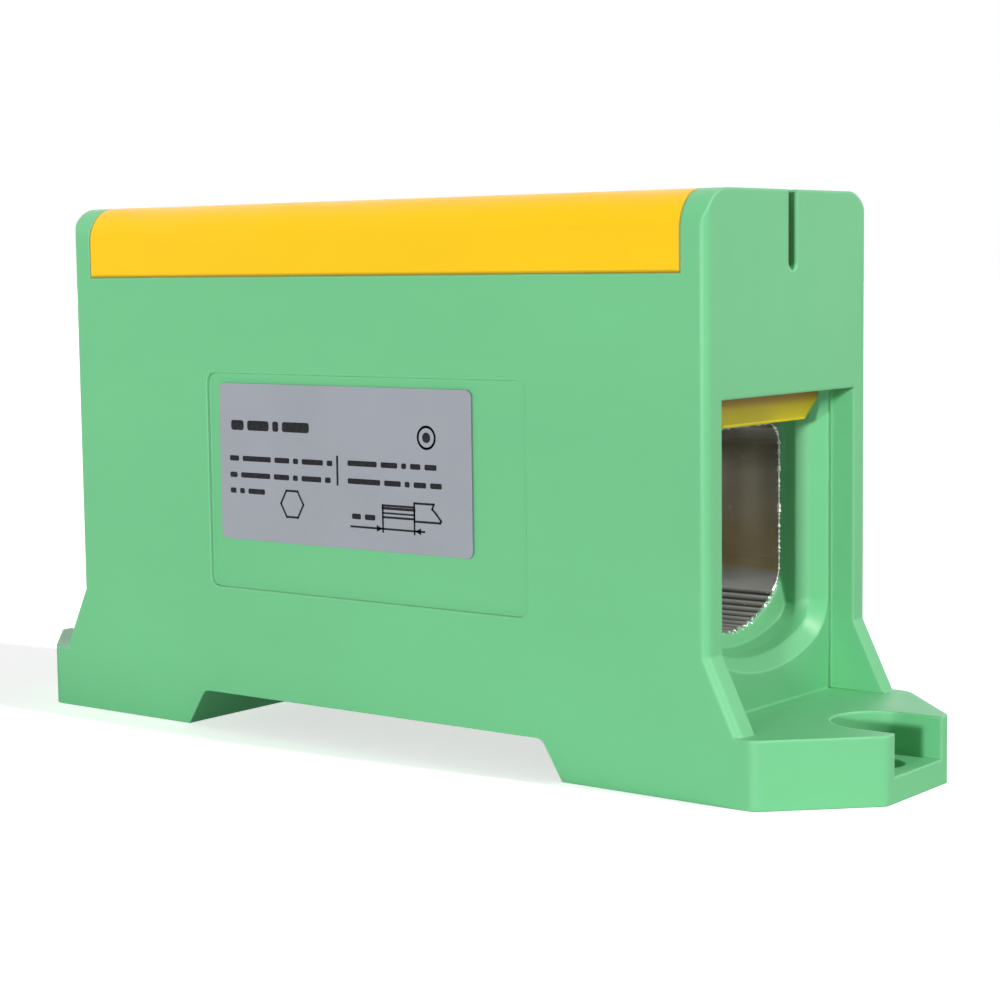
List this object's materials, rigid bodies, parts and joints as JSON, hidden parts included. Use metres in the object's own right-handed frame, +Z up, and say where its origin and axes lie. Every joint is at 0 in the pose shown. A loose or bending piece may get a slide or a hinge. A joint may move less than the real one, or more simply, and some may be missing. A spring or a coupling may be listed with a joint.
{
  "type": "earth terminal",
  "caption": "Moulded earth terminal that clamps and joins two large earth cables in a grooved through bore, screwed down through its end feet.",
  "frame": {"origin": "centre of the mounting face, under the middle of the housing", "axes": "+X along the cable bore and the length, +Y across the width away from the labelled side, +Z up from the mounting face to the lid"},
  "size_m": [0.158, 0.042, 0.08],
  "materials": {
    "housing": "satin moulded green",
    "lid": "satin moulded yellow",
    "clamp_block": "extruded, bright bore",
    "clamp_screw": "zinc plated",
    "rating_label": "printed foil"
  },
  "bodies": {
    "base": {"housing": "housing", "lid": "lid", "clamp_block": "clamp_block", "rating_label": "rating_label"},
    "screw_1": {"clamp_screw_1": "clamp_screw"},
    "screw_2": {"clamp_screw_2": "clamp_screw"},
    "screw_3": {"clamp_screw_3": "clamp_screw"},
    "screw_4": {"clamp_screw_4": "clamp_screw"}
  },
  "joints": [
    {"name": "clamp_1", "type": "slide", "parent": "base", "child": "screw_1", "axis": [0, 0, -1], "range_m": [0, 0.018]},
    {"name": "clamp_2", "type": "slide", "parent": "base", "child": "screw_2", "axis": [0, 0, -1], "range_m": [0, 0.018]},
    {"name": "clamp_3", "type": "slide", "parent": "base", "child": "screw_3", "axis": [0, 0, -1], "range_m": [0, 0.018]},
    {"name": "clamp_4", "type": "slide", "parent": "base", "child": "screw_4", "axis": [0, 0, -1], "range_m": [0, 0.018]}
  ]
}
